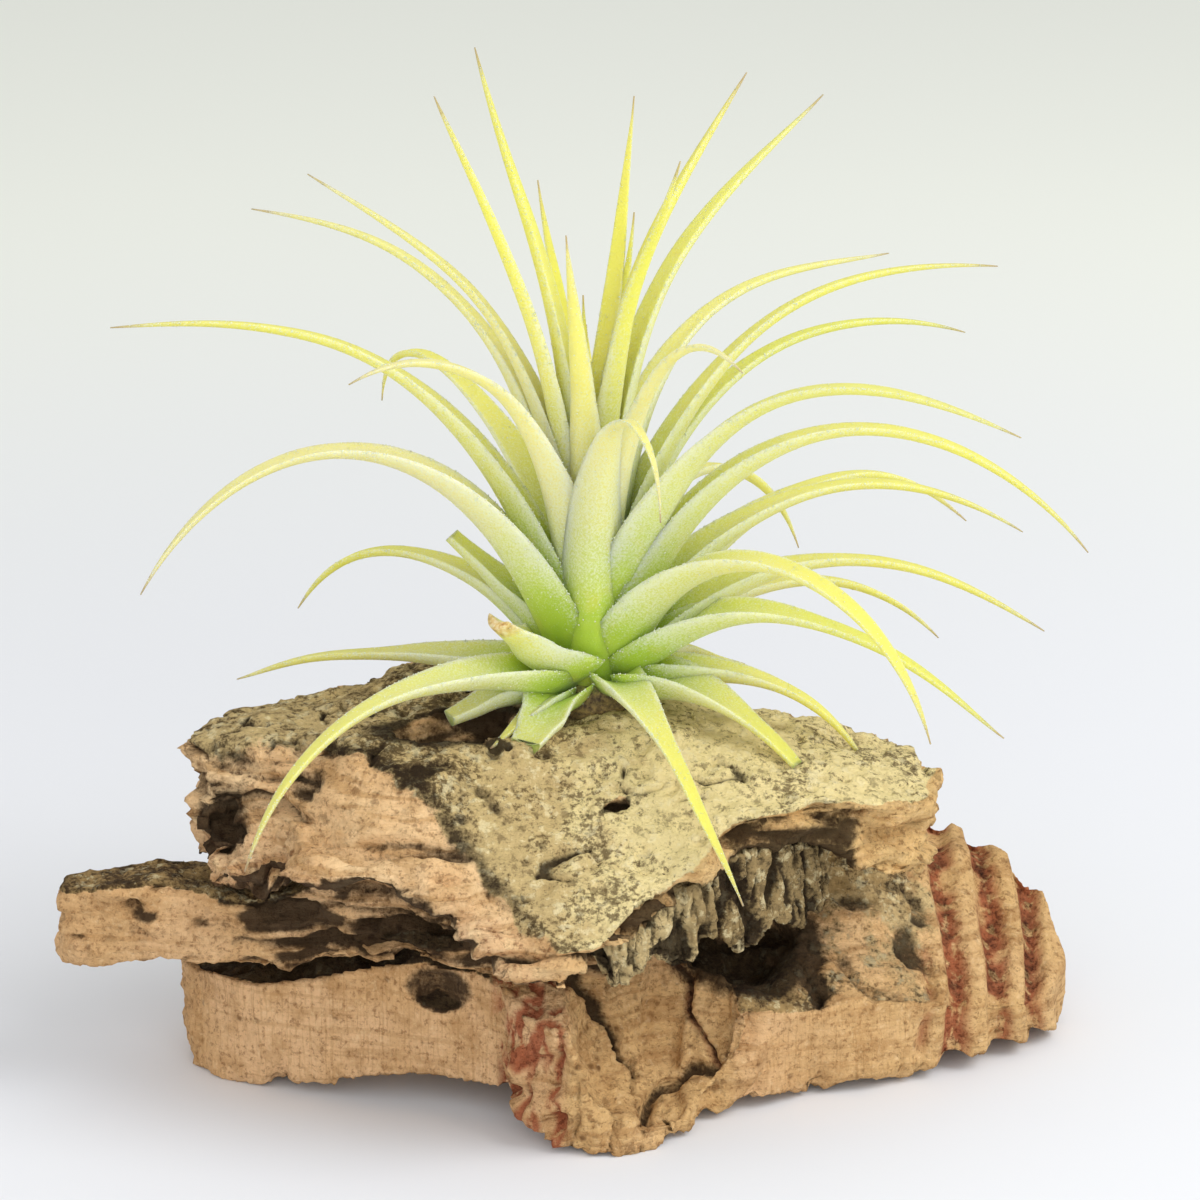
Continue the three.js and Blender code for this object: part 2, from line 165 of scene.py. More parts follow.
# ---- materials ---------------------------------------------------------------------------------
class Value:
    """A number that varies over a surface, with its maths written as Python."""

    def __init__(self, finish, socket):
        self.finish = finish
        self.socket = socket

    def maths(self, operation, *others, clamp=False):
        values = {i: v for i, v in enumerate(others)}
        return self.finish.node(
            "ShaderNodeMath", {"operation": operation, "use_clamp": clamp}, values
        )

    def __add__(self, other):
        return self.maths("ADD", self, other)

    def __radd__(self, other):
        return self.maths("ADD", other, self)

    def __sub__(self, other):
        return self.maths("SUBTRACT", self, other)

    def __rsub__(self, other):
        return self.maths("SUBTRACT", other, self)

    def __mul__(self, other):
        return self.maths("MULTIPLY", self, other)

    def __rmul__(self, other):
        return self.maths("MULTIPLY", other, self)

    def __abs__(self):
        return self.maths("ABSOLUTE", self)

    def clamped(self):
        return self.maths("ADD", self, 0.0, clamp=True)

    def between(self, low, high):
        """0 at low, 1 at high, and a smooth step between."""
        return self.finish.node(
            "ShaderNodeMapRange",
            {"interpolation_type": "SMOOTHSTEP"},
            {"Value": self, "From Min": low, "From Max": high},
        )


class Finish:
    """A material that is being put together."""

    def __init__(self, name, **surface):
        self.material = bpy.data.materials.new(name)
        self.material.use_nodes = True
        self.tree = self.material.node_tree
        self.tree.nodes.clear()
        self.surface = self.tree.nodes.new("ShaderNodeBsdfPrincipled")
        ending = self.tree.nodes.new("ShaderNodeOutputMaterial")
        self.tree.links.new(self.surface.outputs[0], ending.inputs["Surface"])
        for socket, value in surface.items():
            self.surface.inputs[socket.replace("_", " ").title()].default_value = value

    def feed(self, socket, value):
        if isinstance(value, Value):
            self.tree.links.new(value.socket, socket)
        else:
            socket.default_value = value

    def node(self, kind, settings=None, values=None, output=0):
        """Adds a node, with its settings and the values or links of its sockets."""
        made = self.tree.nodes.new(kind)
        for name, setting in (settings or {}).items():
            setattr(made, name, setting)
        for name, value in (values or {}).items():
            self.feed(made.inputs[name], value)
        return Value(self, made.outputs[output])

    def place(self):
        return self.node("ShaderNodeTexCoord", output="Object")

    def stretched(self, scale):
        """Object coordinates, scaled along each axis: a scale under 1 draws grain out along it."""
        values = {"Vector": self.place(), "Scale": scale}
        return self.node("ShaderNodeMapping", {"vector_type": "POINT"}, values)

    def grain(self, size, detail=3.0, where=None, rough=0.55):
        """Fractal noise of about 0 to 1, with features of the given size in millimetres."""
        values = {"Vector": where or self.place(), "Scale": 1000.0 / size, "Detail": detail}
        values["Roughness"] = rough
        return self.node("ShaderNodeTexNoise", {"noise_dimensions": "3D"}, values)

    def spots(self, size):
        """Distance to scattered points, from 0 at a point."""
        values = {"Vector": self.place(), "Scale": 1000.0 / size}
        return self.node("ShaderNodeTexVoronoi", {"feature": "F1"}, values)

    def attribute(self, name):
        return self.node("ShaderNodeAttribute", {"attribute_name": name}, output="Fac")

    def mix(self, share, first, second):
        settings = {"data_type": "RGBA", "clamp_factor": True}
        return self.node("ShaderNodeMix", settings, {0: share, 6: first, 7: second}, output=2)

    def ramp(self, share, *stops):
        """Colours at shares of the way."""
        made = self.tree.nodes.new("ShaderNodeValToRGB")
        elements = made.color_ramp.elements
        while len(elements) < len(stops):
            elements.new(0.5)
        for element, (position, tone) in zip(elements, stops):
            element.position = position
            element.color = tone
        self.feed(made.inputs[0], share)
        return Value(self, made.outputs[0])

    def bump(self, *layers):
        """Stacks heights, each with its depth in millimetres, into the surface's normal."""
        normal = None
        for height, depth in layers:
            values = {"Height": height, "Distance": depth * MM, "Strength": 1.0}
            if normal is not None:
                values["Normal"] = normal
            normal = self.node("ShaderNodeBump", None, values)
        self.feed(self.surface.inputs["Normal"], normal)

    def finish(self, tone, roughness):
        self.feed(self.surface.inputs["Base Color"], tone)
        self.feed(self.surface.inputs["Roughness"], roughness)
        return self.material


def leaf_finish():
    """Green flesh under silvery scales, yellower along the leaf and brown at the tip."""
    f = Finish("silvery_leaf", subsurface_weight=0.6, subsurface_scale=0.004, sheen_weight=0.1)
    f.surface.inputs["Specular IOR Level"].default_value = 0.2
    f.surface.inputs["Subsurface Radius"].default_value = (1.0, 0.9, 0.3)
    along = f.attribute("along")
    across = f.attribute("across")
    side = f.attribute("side")
    ripeness = f.attribute("ripeness")
    drift = f.grain(5.0, 2.0) - 0.5
    where = (along + drift * 0.12).clamped()
    flesh = f.ramp(
        where,
        (0.0, colour("#94b42a")),
        (0.08, colour("#b0c946")),
        (0.2, colour("#cdd268")),
        (0.4, colour("#e2dc72")),
        (0.75, colour("#e9e168")),
        (0.93, colour("#ddd070")),
        (1.0, colour("#b48c5c")),
    )
    green = f.mix(0.5, flesh, colour("#abc93a"))
    flesh = f.mix(ripeness.between(0.35, 0.9) * (1.0 - along * 0.4) * 0.7, flesh, green)
    flesh = f.mix(f.attribute("cream") * along.between(0.05, 0.3) * 0.65, flesh, colour("#efe0ae"))
    warm = (f.grain(3.2, 2.0) - 0.5) * 1.6
    flesh = f.mix(warm.between(0.1, 0.6) * 0.35, flesh, colour("#e0c860"))
    speck = f.grain(0.24, 2.0)
    fine = f.grain(0.14, 1.0)
    cover = along.between(0.03, 0.14) * (1.0 - along.between(0.2, 0.8) * 0.8)
    margin = abs(across).between(0.7, 0.99)
    silver = cover * 0.52 + margin * 0.3 - side.between(-0.2, 0.6) * 0.12
    silver = (silver + (speck - 0.5) * 1.4 + (fine - 0.5) * 0.7).between(0.12, 1.0)
    tone = f.mix(silver * 0.72, flesh, colour("#e3e9d2"))
    tip = (along + (f.grain(1.5) - 0.5) * 0.05).between(0.95, 0.995)
    tone = f.mix(tip * 0.8, tone, colour("#8f6a50"))
    cut = f.attribute("cut")
    pith = f.ramp(f.grain(0.9), (0.3, colour("#8fae2c")), (0.7, colour("#c9cd80")))
    tone = f.mix(cut, tone, pith)
    dry = f.attribute("dry")
    husk = f.ramp(
        f.grain(0.8), (0.3, colour("#8e5f3a")), (0.5, colour("#d9b27c")), (0.7, colour("#f0e2c4"))
    )
    tone = f.mix(dry, tone, husk)
    f.bump((speck, 0.09), (fine, 0.05), (f.grain(2.5), 0.15))
    return f.finish(tone, 0.66 - silver * 0.1)


def scale_finish():
    """The scales themselves: pale silver, a little green in patches."""
    f = Finish("silver_scales", subsurface_weight=0.1, subsurface_scale=0.0008)
    tone = f.mix(f.grain(2.0), colour("#dfe8c2"), colour("#f1f4e6"))
    return f.finish(tone, 0.6)


def stem_finish():
    """Green above, dry and brown where it meets the bark."""
    f = Finish("stem_green", subsurface_weight=0.1, subsurface_scale=0.001)
    green = f.ramp(f.grain(1.5), (0.3, colour("#7f9c2a")), (0.7, colour("#a9b84a")))
    height = f.node("ShaderNodeSeparateXYZ", None, {0: f.place()}, output=2)
    fresh = (height + (f.grain(1.0) - 0.5) * 0.003).between((STEM_FOOT + 1.5) * MM, (STEM_FOOT + 4) * MM)
    husk = f.ramp(f.grain(0.5), (0.35, colour("#3a2a18")), (0.65, colour("#8b7440")))
    f.bump((f.grain(0.6), 0.25))
    return f.finish(f.mix(fresh, husk, green), 0.7)


def cork_finish(name, body_tones, crust_tones):
    """Cork: layered where broken, finely lined where cut, dark and cracked on its weathered side."""
    f = Finish(name)
    f.surface.inputs["Specular IOR Level"].default_value = 0.15
    crust = f.attribute("crust")
    cut = f.attribute("cut")
    shade = f.attribute("shade")
    rust = f.attribute("rust")
    bleach = f.attribute("bleach")
    broad = f.grain(11.0, 3.0)
    middle = f.grain(3.0, 4.0)
    fine = f.grain(0.7, 5.0, rough=0.7)
    tiny = f.grain(0.22, 2.0)
    layers = f.grain(1.1, 4.0, f.stretched((0.1, 0.1, 1.2)))
    strands = f.grain(0.45, 3.0, f.stretched((1.5, 1.5, 0.05)))
    rings = f.grain(0.8, 2.0, f.stretched((0.05, 0.05, 1.3)))
    coarse = f.grain(1.6, 5.0, rough=0.7)
    pale, deep, brown = body_tones
    body = f.mix(broad.between(0.38, 0.62), pale, deep)
    body = f.mix(bleach * 0.7, body, colour("#e0bb7a"))
    body = f.mix(middle.between(0.48, 0.68) * 0.5, body, brown)
    body = f.mix((1.0 - cut) * layers.between(0.48, 0.62) * 0.6, body, brown)
    body = f.mix(cut * strands.between(0.5, 0.66) * 0.42, body, brown)
    body = f.mix(cut * rings.between(0.52, 0.64) * 0.32, body, brown)
    body = f.mix((1.0 - cut) * coarse.between(0.54, 0.66) * 0.5, body, colour("#6d4828"))
    pits = (1.0 - f.spots(2.4).between(0.08, 0.24)) * middle.between(0.48, 0.6)
    body = f.mix(pits * 0.7, body, colour("#5d3b20"))
    body = f.mix(fine.between(0.52, 0.66) * 0.6, body, colour("#80552f"))
    body = f.mix((1.0 - fine.between(0.32, 0.46)) * 0.4, body, colour("#f0cfa0"))
    bright, dull, dark_crust = crust_tones
    skin = f.mix((bleach + (middle - 0.5) * 1.6).between(0.2, 0.8), dull, bright)
    blotch = (fine + (broad - 0.5) * 0.6 + (middle - 0.5) * 0.4 - bleach * 0.07).between(0.47, 0.62)
    skin = f.mix(blotch * 0.8, skin, dark_crust)
    skin = f.mix(coarse.between(0.53, 0.62) * 0.6, skin, colour("#f2e3b4"))
    skin = f.mix((1.0 - coarse.between(0.36, 0.46)) * 0.55, skin, dark_crust)
    dots = (1.0 - f.spots(1.5).between(0.08, 0.22)) * middle.between(0.5, 0.6)
    skin = f.mix(dots * 0.7, skin, colour("#2e2115"))
    weather = (crust + (middle - 0.5) * 0.9 + (fine - 0.5) * 0.6).between(0.38, 0.62)
    tone = f.mix(weather, body, skin)
    veins = f.grain(1.4, 4.0, f.stretched((1.0, 1.0, 0.3))).between(0.36, 0.5)
    tone = f.mix(rust * veins * 0.9, tone, colour("#a4583a"))
    tone = f.mix(rust * fine.between(0.5, 0.62) * 0.55, tone, colour("#62301e"))
    # Painted shade: near black where the shade mark is high, in cracks, steps, holes, undersides and under
    # the plank, over some real char
    painted_shade_and_char = (shade + (middle - 0.5) * 0.8 + (fine - 0.5) * 0.7).between(0.28, 0.85)
    tone = f.mix(painted_shade_and_char * 0.9, tone, colour("#24180f"))
    f.bump(
        (tiny, 0.07),
        (fine, 0.45),
        (layers * (1.0 - cut), 0.5),
        (strands * cut, 0.1),
        (coarse, 0.5),
        (middle, 0.5),
    )
    return f.finish(tone, 0.85 + fine * 0.12)


# ---- leaf shapes -------------------------------------------------------------------------------
def ramp(value, low, high):
    """0 below low, 1 above high, and a smooth rise between."""
    t = min(1.0, max(0.0, (value - low) / (high - low)))
    return t * t * (3 - 2 * t)


def stem_radius(z):
    return STEM_TIP_RADIUS + (STEM_FOOT_RADIUS - STEM_TIP_RADIUS) * (1 - z / STEM_HEIGHT) ** 1.2


def heading(azimuth, elevation):
    """Where a direction points."""
    a, e = math.radians(azimuth), math.radians(elevation)
    return Vector((math.cos(e) * math.cos(a), math.cos(e) * math.sin(a), math.sin(e)))


class Leaf:
    """One leaf: its middle line, and the surface round it."""

    def __init__(
        self,
        name,
        azimuth,
        reach,
        height,
        root,
        rise,
        fall,
        width,
        bow=0.5,
        sheath=0.58,
        sway=0,
        cut=1.0,
        dry=0.0,
        cream=0.0,
    ):
        self.name = name
        self.azimuth = azimuth
        self.width = width
        self.sheath = sheath
        self.sway = sway
        self.cut = cut
        self.dry = dry
        self.cream = cream
        start = heading(azimuth - sway, 0) * (stem_radius(root) - 0.4)
        start.z = root
        end = heading(azimuth, 0) * reach
        end.z = height
        chord = (end - start).length
        bend = start + heading(azimuth - sway, rise) * bow * chord
        close = end - heading(azimuth + sway, fall) * 0.4 * chord
        self.line = (start, bend, close, end)
        self.length = sum(
            (self.middle(i / 20) - self.middle((i + 1) / 20)).length for i in range(20)
        )
        self.luck = random.Random(name)
        self.phase = self.luck.uniform(0, 50)
        self.ripeness = self.luck.uniform(0, 1)

    def middle(self, along):
        a, b, c, d = self.line
        t, s = along, 1 - along
        return a * s**3 + b * (3 * s * s * t) + c * (3 * s * t * t) + d * t**3

    def tangent(self, along):
        a, b, c, d = self.line
        t, s = along, 1 - along
        return ((b - a) * s * s + (c - b) * (2 * s * t) + (d - c) * t * t).normalized()

    def share(self, along):
        """Share of the full width at a share of the way along."""
        along = along * self.cut
        return self.sheath * (1 - ramp(along, 0, 0.55)) + (1 - self.sheath) * (1 - along**2.2)

    def point(self, along, turn):
        """A point of the surface: turn goes round the section, from one margin over the upper side."""
        share = self.share(along)
        half = max(self.width * LEAF_WIDTH * share, TIP_WIDTH) / 2
        half *= 1 + 0.035 * noise.noise(Vector((along * 9, self.phase, 0)))
        thick = max(LEAF_THICKNESS * math.sqrt(share), TIP_THICKNESS) / 2
        across = math.cos(turn)
        side = math.sin(turn)
        tangent = self.tangent(along)
        sideways = heading(self.azimuth - self.sway + 90 + 2 * self.sway * along, 0)
        upper = tangent.cross(sideways).normalized()
        sideways = upper.cross(tangent)
        twist = 0.12 * noise.noise(Vector((along * 2.2, self.phase, 7)))
        sideways, upper = (
            sideways * math.cos(twist) + upper * math.sin(twist),
            upper * math.cos(twist) - sideways * math.sin(twist),
        )
        ridges = 0.035 * math.cos(9 * across) * (1 - across * across)
        channel = FOOT_CHANNEL + (LEAF_CHANNEL - FOOT_CHANNEL) * ramp(along * self.cut, 0, 0.5)
        lift = channel * half * across * across
        height = (0.7 if side > 0 else 1.0) * thick * side + ridges * side + lift
        wobble = Vector(
            (
                noise.noise(Vector((along * 3, self.phase, 1))),
                noise.noise(Vector((along * 3, self.phase, 2))),
                noise.noise(Vector((along * 3, self.phase, 3))),
            )
        ) * 0.35 * min(1, 4 * along)
        return self.middle(along) + wobble + sideways * (across * half) + upper * height


def tube_of(bm, facets, stations):
    """A flat sheet to be rolled into a tube: returns each vertex with its turn and its share along."""
    sheet = bmesh.ops.create_grid(bm, x_segments=facets, y_segments=stations, size=1.0)
    return [(v, (v.co.x + 1) * math.pi, (v.co.y + 1) / 2) for v in sheet["verts"]]


def into_frame(point):
    """From the stem's foot, in millimetres, to the row frame."""
    return at(point.x, point.y, point.z + STEM_FOOT)


def piece_from(bm, name, *finishes):
    """Makes a mesh object of a bmesh."""
    mesh = bpy.data.meshes.new(name)
    bm.to_mesh(mesh)
    bm.free()
    for finish in finishes:
        mesh.materials.append(finish)
    piece = bpy.data.objects.new(name, mesh)
    bpy.context.scene.collection.objects.link(piece)
    return piece


def smooth(piece):
    piece.data.polygons.foreach_set("use_smooth", [True] * len(piece.data.polygons))


def blade_of(leaf, finishes):
    """A leaf's blade with its scales."""
    bm = bmesh.new()
    layers = {
        name: bm.verts.layers.float.new(name)
        for name in ("along", "across", "side", "ripeness", "cream", "cut", "dry")
    }
    rolled = tube_of(bm, LEAF_FACETS, LEAF_STATIONS)
    for vertex, turn, along in rolled:
        eased = along ** 0.85
        vertex.co = into_frame(leaf.point(eased, turn))
        vertex[layers["along"]] = eased * leaf.cut
        vertex[layers["across"]] = math.cos(turn)
        vertex[layers["side"]] = math.sin(turn)
        vertex[layers["ripeness"]] = leaf.ripeness
        vertex[layers["cream"]] = leaf.cream
        vertex[layers["dry"]] = leaf.dry * max(0, (eased - 0.86) / 0.14) ** 0.5
    bmesh.ops.remove_doubles(bm, verts=bm.verts, dist=0.00001)
    ends = bmesh.ops.holes_fill(bm, edges=[e for e in bm.edges if e.is_boundary], sides=0)["faces"]
    bmesh.ops.recalc_face_normals(bm, faces=bm.faces)
    if leaf.cut < 1 and not leaf.dry:
        rim_middle = into_frame(leaf.middle(1))
        end = min(ends, key=lambda face: (face.calc_center_median() - rim_middle).length)
        poked = bmesh.ops.inset_region(bm, faces=[end], thickness=0.0002, depth=-0.00025)
        for face in [end, *poked["faces"]]:
            for vertex in face.verts:
                vertex[layers["cut"]] = 1.0
    add_scales(bm, leaf, layers)
    piece = piece_from(bm, f"{leaf.name}_blade", *finishes)
    smooth(piece)
    return piece


def add_scales(bm, leaf, layers):
    """Scatters the tiny scales over a leaf, thickest near its foot and along its margins."""
    count = int(SCALES_PER_MM * leaf.length)
    for _ in range(count):
        along = min(leaf.luck.random() ** 1.25 * 0.97 + 0.01, 0.97)
        if leaf.luck.random() < 0.5:
            turn = leaf.luck.choice((0, math.pi)) + leaf.luck.gauss(0, 0.22)
        else:
            turn = leaf.luck.uniform(0, 2 * math.pi)
        here = leaf.point(along, turn)
        forward = leaf.point(along + 0.01, turn) - here
        round_it = leaf.point(along, turn + 0.05) - here
        outward = round_it.cross(forward).normalized()
        if outward.dot(here - leaf.middle(along)) < 0:
            outward.negate()
        lean = (outward + forward.normalized() * leaf.luck.uniform(0.1, 0.9)).normalized()
        size = leaf.luck.uniform(0.5, 1.15) * (1 - 0.45 * along)
        turned = lean.to_track_quat("Z", "Y").to_matrix().to_4x4()
        matrix = Matrix.Translation(into_frame(here + outward * 0.02)) @ turned
        scale = bmesh.ops.create_cone(
            bm,
            cap_ends=True,
            segments=5,
            radius1=SCALE_RADIUS * size * MM,
            radius2=0.0,
            depth=SCALE_HEIGHT * size * MM * 2,
            matrix=matrix,
        )
        for vertex in scale["verts"]:
            vertex[layers["along"]] = along * leaf.cut
            for face in vertex.link_faces:
                face.material_index = 1


# ---- stem --------------------------------------------------------------------------------------
def stem_piece(finish):
    """The short stem, ringed with the scars of old leaves."""
    bm = bmesh.new()
    for vertex, turn, along in tube_of(bm, 28, 30):
        z = -1.9 + along * (STEM_HEIGHT + 1.8)
        radius = stem_radius(max(0, min(z, STEM_HEIGHT - 0.01))) * (1 + 0.04 * math.sin(z * 3.1))
        radius += 0.12 * noise.noise(Vector((3 * math.cos(turn), 3 * math.sin(turn), z)))
        vertex.co = into_frame(Vector((radius * math.cos(turn), radius * math.sin(turn), z)) * 0.98)
    bmesh.ops.remove_doubles(bm, verts=bm.verts, dist=0.00001)
    bmesh.ops.holes_fill(bm, edges=[e for e in bm.edges if e.is_boundary], sides=0)
    bmesh.ops.recalc_face_normals(bm, faces=bm.faces)
    piece = piece_from(bm, "stem_core", finish)
    smooth(piece)
    return piece


# ---- cork bark ---------------------------------------------------------------------------------
def hills(x, y, z, octaves=4):
    return noise.fractal(Vector((x, y, z)), 0.65, 2.1, octaves)


def ledges(x, y, z, period, warp):
    """Broken layers: 0 on a ledge's face, 1 at the back of the step under it."""
    bent = z + warp * noise.noise(Vector((x * 0.07, y * 0.07, z * 0.1)))
    return ramp(noise.noise(Vector((x * 0.09, y * 0.09, bent / period))), -0.05, 0.18)


def cracks(x, y, z, reach):
    """Near 1 in narrow cracks that wander and end; reach is the share of them that is open."""
    line = 1 - ramp(abs(noise.noise(Vector((x, y, z)))), 0.0, 0.075)
    return line * ramp(noise.noise(Vector((y * 0.9 + 4, x * 0.9, z + 8))), 0.3 - reach, 0.5 - reach)


def line_crack(x, z, start, end, width):
    """1 in a crack that runs down a face from start to end, each (x, z), and 0 away from it."""
    share = min(1.0, max(0.0, (z - start[1]) / (end[1] - start[1])))
    middle = start[0] + (end[0] - start[0]) * share
    middle += 0.9 * noise.noise(Vector((z * 0.35, start[0], 0)))
    gap = width * (1.2 - 0.8 * share)
    return (1 - ramp(abs(x - middle), 0.3 * gap, gap)) * (1 - ramp(abs(share - 0.5), 0.44, 0.5))


def bowls(x, y, z):
    """Shell-shaped hollows with sharp rims between them, 0 at a rim."""
    return min(1.0, 2.2 * abs(noise.noise(Vector((x, y, z)))))


def voxelled(piece, size):
    """The piece's mesh rebuilt from even voxels."""
    remesh = piece.modifiers.new("even", "REMESH")
    remesh.mode = "VOXEL"
    remesh.voxel_size = size * MM
    remesh.use_smooth_shade = True
    graph = bpy.context.evaluated_depsgraph_get()
    rebuilt = bpy.data.meshes.new_from_object(piece.evaluated_get(graph))
    piece.modifiers.clear()
    piece.data = rebuilt
    return piece


def hole_cutter(holes):
    """Uneven ovals, to be cut out of bark: centre, radii and turn of each."""
    bm = bmesh.new()
    for (x, y, z), (rx, ry, rz), turn in holes:
        oval = bmesh.ops.create_icosphere(bm, subdivisions=3, radius=1.0)
        spin = Matrix.Rotation(math.radians(turn), 4, "Z")
        for vertex in oval["verts"]:
            ux, uy, uz = vertex.co
            swell = 1 + 0.3 * hills(ux * 1.3 + x, uy * 1.3 + y, uz * 1.3 + z)
            vertex.co = at(x, y, z) + spin @ Vector((ux * rx, uy * ry, uz * rz)) * swell * MM
    return piece_from(bm, "hole_cutter")


def hole_painted_shade_of(holes, x, y, z):
    """Painted shade for the holes: 1 in them, fading out just past their rims."""
    painted_shade_and_char = 0.0
    for (hx, hy, hz), (rx, ry, rz), turn in holes:
        c, s = math.cos(math.radians(-turn)), math.sin(math.radians(-turn))
        dx, dy = c * (x - hx) - s * (y - hy), s * (x - hx) + c * (y - hy)
        painted_shade_and_char = max(painted_shade_and_char, 1 - ramp(math.hypot(dx / rx, dy / ry, (z - hz) / rz), 0.95, 1.5))
    return painted_shade_and_char


def bark_piece(node, carve, finish, voxel, holes=()):
    """A detailed piece of bark, carved from the plain solid of the same name."""
    bm = bmesh.new()
    bm.from_mesh(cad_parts[node].data)
    bmesh.ops.remove_doubles(bm, verts=bm.verts, dist=0.00001)
    piece = piece_from(bm, node.replace("cork_", "bark_"))
    if holes:
        cutter = hole_cutter(holes)
        cut = piece.modifiers.new("holes", "BOOLEAN")
        cut.object = cutter
        cut.operation = "DIFFERENCE"
        cut.solver = "EXACT"
        cut.use_self = True
        voxelled(piece, voxel)
        cutter_mesh = cutter.data
        bpy.data.objects.remove(cutter)
        bpy.data.meshes.remove(cutter_mesh)
    else:
        voxelled(piece, voxel)
    mesh = piece.data
    for _ in range(SMOOTHING_ROUNDS):
        relax(mesh)
    marks = {name: np.zeros(len(mesh.vertices), np.float32) for name in MARKS}
    normals = np.zeros(len(mesh.vertices) * 3, np.float32)
    mesh.vertices.foreach_get("normal", normals)
    normals = normals.reshape(-1, 3)
    for i, vertex in enumerate(mesh.vertices):
        x = vertex.co.x / MM - STEM_X
        y = vertex.co.y / MM - STEM_Y
        z = vertex.co.z / MM
        depth, crust, cut, shade, rust, bleach = carve(x, y, z, normals[i])
        # painted shade inside the cut holes
        shade += 0.8 * hole_painted_shade_of(holes, x, y, z)
        vertex.co -= Vector(normals[i].tolist()) * depth * MM
        vertex.co.z = max(vertex.co.z, 0.0)
        for name, value in zip(MARKS, (crust, cut, shade, rust, bleach)):
            marks[name][i] = value
    for name, values in marks.items():
        mesh.attributes.new(name, "FLOAT", "POINT").data.foreach_set("value", values)
    mesh.materials.clear()
    mesh.materials.append(finish)
    smooth(piece)
    return piece


def relax(mesh):
    """Takes the facets off a voxel mesh."""
    bm = bmesh.new()
    bm.from_mesh(mesh)
    bmesh.ops.smooth_vert(bm, verts=bm.verts, factor=0.5, use_axis_x=True, use_axis_y=True, use_axis_z=True)
    bm.to_mesh(mesh)
    bm.free()


def rough(x, y, z):
    """The small relief that all of the bark has."""
    broad = hills(x * 0.17, y * 0.17, z * 0.2, 6)
    return 0.6 * broad + 0.12 * hills(x * 1.2, y * 1.2, z * 1.2, 3)


def carve_upper(x, y, z, normal):
    """Weathered on top, broken into layers on its sides."""
    up = float(normal[2])
    line = -0.65 * (x + 33.2) - 0.76 * (y + 8) + 1.6 * noise.noise(Vector((x * 0.25, y * 0.25, 5)))
    face = ramp(line, -1.2, 0.6) * ramp(-y, 6, 12)
    side = max(1 - ramp(up, 0.5, 0.75), face)
    knob = ramp(-x, 30, 35)
    crust = 1 - side
    step = ledges(x, y, z, 2.1, 2.6)
    thin = ledges(x + 9, y, z, 0.9, 1.5)
    bowl = bowls(x * 0.11, y * 0.11, z * 0.2)
    crack = cracks(x * 0.17 + 3, y * 0.2, z * 0.1, 0.15)
    pits = ramp(noise.noise(Vector((x * 0.42, y * 0.42, z * 0.5 + 9))), 0.3, 0.6)
    smooth_part = side * ramp(-x, 10, 16) * (1 - ramp(-x, 24, 30)) * ramp(z, 31, 34)
    depth = (rough(x, y, z) - 0.3) * (1 - 0.5 * smooth_part)
    depth += side * (1 - 0.7 * smooth_part) * (1.7 * step + 0.6 * thin + 1.5 * bowl - 1.1)
    depth += crust * (1.0 * crack + 0.6 * pits) + knob * side * 0.8 * bowls(x * 0.3, y * 0.3, z * 0.3)
    rim = crust * ramp(line, -3.5, -0.8) * ramp(-y, 6, 12)
    low = side * (1 - ramp(z - 24 - 0.15 * max(0, -x - 8), 0, 5)) * ramp(-x, 0, 10)
    shade = crust * (0.9 * crack + 0.4 * pits) + side * (0.5 * step + 0.3 * thin - 0.15) + 0.4 * rim
    shade += 0.35 * low * step + 0.25 * knob * side
    if up < -0.3:
        shade += 0.6
    left_top = crust * ramp(-x, 2, 14)
    shade += 0.4 * left_top
    brow = STEM_FOOT - (0.67 - 0.42 * ramp(x, 5, 21)) * max(0, -9 - y) - 0.17 * max(0, x - 5) - z
    shade += 0.9 * side * ramp(brow, 2.0, 3.2) * ramp(x, 8, 12) * (1 - ramp(x, 27, 30))
    bleach = ramp(x, -16, 14) * (0.75 + 0.25 * ramp(-y, -4, 20))
    torn_end = ramp(x, 27, 31) * (1 - ramp(up, 0.6, 0.9))
    shade *= 1 - 0.8 * torn_end
    return depth, crust * (0.8 + 0.2 * pits), 0.0, shade, 0.25 * low, max(bleach, torn_end)


def carve_plank(x, y, z, normal):
    """Thin dark layers, split apart, with painted shade where they run under the upper slab; the free left
    end is paler.
    """
    up = float(normal[2])
    side = 1 - ramp(abs(up), 0.5, 0.85)
    step = ledges(x, y, z, 1.5, 3.0)
    thin = ledges(x + 5, y, z, 0.7, 2.0)
    under = ramp(x, -44, -34)
    depth = rough(x, y, z) - 0.2 + side * ((0.3 + 1.5 * under) * step + 0.5 * under * thin)
    crust = ramp(up, 0.3, 0.7)
    pits = ramp(noise.noise(Vector((x * 0.35, y * 0.4, z * 0.6 + 3))), 0.25, 0.5)
    depth += 0.9 * pits * side * (1 - under) + 1.4 * ramp(-x, 14, 20) * ramp(-up, -0.2, 0.3) * under
    # Painted shade where the plank runs under the upper slab, deepest at the back of its steps.
    shade = side * under * (0.42 + 0.5 * step + 0.3 * thin) + side * 0.2 * step + 0.55 * crust
    shade += 0.35 * pits * side
    return depth, crust, 0.4 * side * (1 - under), shade, 0.0, 0.1


